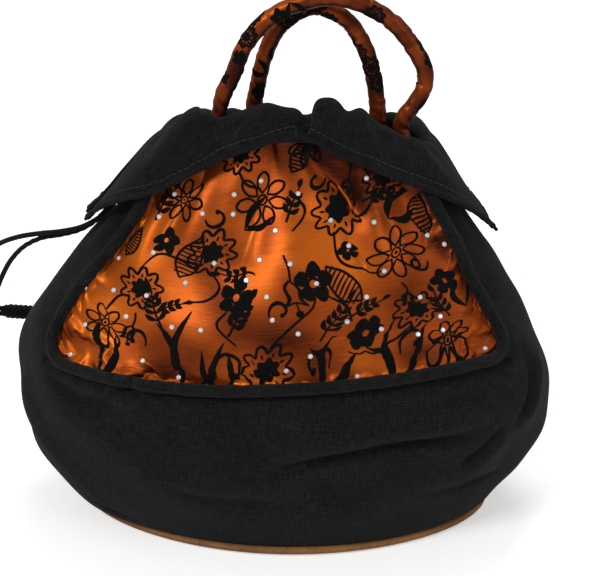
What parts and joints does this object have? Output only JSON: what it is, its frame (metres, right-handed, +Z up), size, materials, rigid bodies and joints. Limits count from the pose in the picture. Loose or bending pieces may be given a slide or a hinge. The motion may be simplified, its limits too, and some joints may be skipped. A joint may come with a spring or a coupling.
{
  "type": "drawstring pouch bag",
  "caption": "Round-bodied cloth drawstring pouch with printed satin panels, a flared collar over a gathered mouth, tube handles that swing and a cord at one side.",
  "frame": {"origin": "under the middle of the base, on the surface it stands on", "axes": "+Z up, the front panel faces -Y, +X to the right seen from the front"},
  "size_m": [0.2959, 0.1454, 0.2729],
  "materials": {
    "black_cloth": "matte linen weave",
    "copper_satin": "shot satin, changing from copper to maroon",
    "lining_cloth": "smooth lining cloth",
    "brown_base": "brown cloth",
    "black_cord": "braided cord",
    "stiff_board": "plain board",
    "handle_core": "plain tube"
  },
  "bodies": {
    "root": {"front_lower_band": "black_cloth", "back_lower_band": "black_cloth", "left_gusset": "black_cloth", "right_gusset": "black_cloth", "front_piping": "black_cloth", "back_piping": "black_cloth", "front_casing": "black_cloth", "back_casing": "black_cloth", "front_collar": "black_cloth", "back_collar": "black_cloth", "drawstring_end_wrap": "black_cloth", "front_panel": "copper_satin", "back_panel": "copper_satin", "front_left_handle_tab": "copper_satin", "front_right_handle_tab": "copper_satin", "back_left_handle_tab": "copper_satin", "back_right_handle_tab": "copper_satin", "drawstring_loop": "black_cord", "drawstring_upper_strand": "black_cord", "drawstring_lower_strand": "black_cord", "lining": "lining_cloth", "base_panel": "brown_base", "base_board": "stiff_board"},
    "front_handle": {"front_handle_sleeve": "copper_satin", "front_handle_core": "handle_core"},
    "back_handle": {"back_handle_sleeve": "copper_satin", "back_handle_core": "handle_core"}
  },
  "joints": [
    {"name": "front_handle_swing", "type": "hinge", "parent": "root", "child": "front_handle", "pos_m": [-0.0283, -0.00666, 0.22243], "axis": [0.9884, 0.0406, -0.1466], "range_deg": [0, 80]},
    {"name": "back_handle_swing", "type": "hinge", "parent": "root", "child": "back_handle", "pos_m": [-0.01434, 0.0069, 0.21278], "axis": [0.9997, -0.0016, -0.0238], "range_deg": [-80, 0]}
  ]
}
